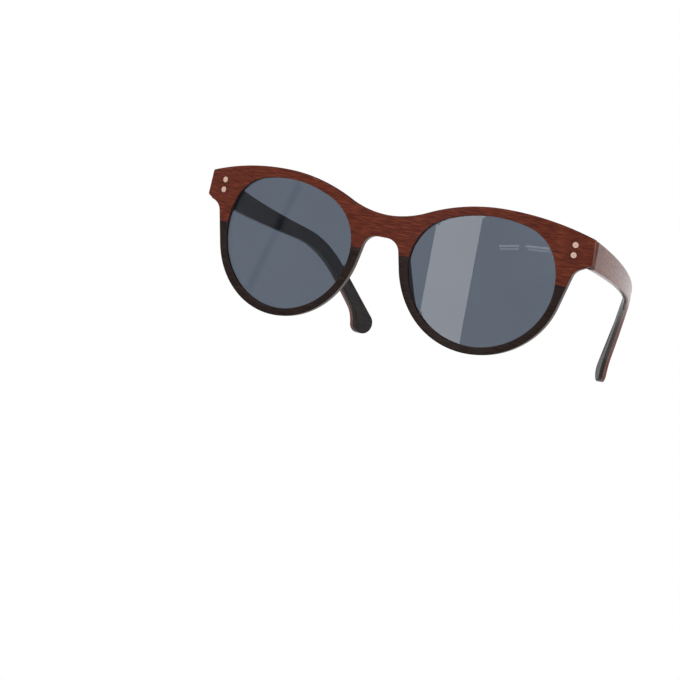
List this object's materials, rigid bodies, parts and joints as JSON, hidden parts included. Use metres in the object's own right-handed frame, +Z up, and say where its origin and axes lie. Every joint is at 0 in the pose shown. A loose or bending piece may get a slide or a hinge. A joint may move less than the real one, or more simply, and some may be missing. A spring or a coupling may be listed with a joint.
{
  "type": "sunglasses",
  "caption": "Wooden sunglasses with a curved laminated front in red and dark wood, round grey lenses held in grooves, and bent temples that fold on small riveted hinges.",
  "frame": {"origin": "centre of the bounding box on the table, under the open sunglasses standing on their rims and ear tips", "axes": "+X to the wearer's left, +Y back along the temples, +Z up"},
  "size_m": [0.1486, 0.1446, 0.0521],
  "materials": {
    "red_wood": "satin",
    "dark_wood": "satin",
    "brown_wood": "satin",
    "tan_wood": "satin",
    "lens": "polished grey tint",
    "rivet": "satin",
    "steel": "satin"
  },
  "bodies": {
    "front": {"brow_veneer": "red_wood", "right_rim_veneer": "dark_wood", "left_rim_veneer": "dark_wood", "front_core_ply": "brown_wood", "front_back_ply": "dark_wood", "right_nose_pad": "dark_wood", "left_nose_pad": "dark_wood", "right_lens": "lens", "left_lens": "lens", "right_front_rivets": "rivet", "left_front_rivets": "rivet", "right_front_hinge_leaf": "steel", "left_front_hinge_leaf": "steel", "right_hinge_screw": "steel", "left_hinge_screw": "steel"},
    "right_temple": {"right_temple_outer_ply": "red_wood", "right_temple_middle_ply": "tan_wood", "right_temple_inner_ply": "dark_wood", "right_temple_hinge_leaf": "steel", "right_temple_leaf_screws": "steel"},
    "left_temple": {"left_temple_outer_ply": "red_wood", "left_temple_middle_ply": "tan_wood", "left_temple_inner_ply": "dark_wood", "left_temple_hinge_leaf": "steel", "left_temple_leaf_screws": "steel"}
  },
  "joints": [
    {"name": "left_temple_fold", "type": "hinge", "parent": "front", "child": "left_temple", "pos_m": [0.06889, -0.05483, 0.04298], "axis": [0, -0.0518, 0.9987], "range_deg": [0, 82]},
    {"name": "right_temple_fold", "type": "hinge", "parent": "front", "child": "right_temple", "pos_m": [-0.06889, -0.05483, 0.04298], "axis": [0, 0.0518, -0.9987], "range_deg": [0, 76]}
  ]
}
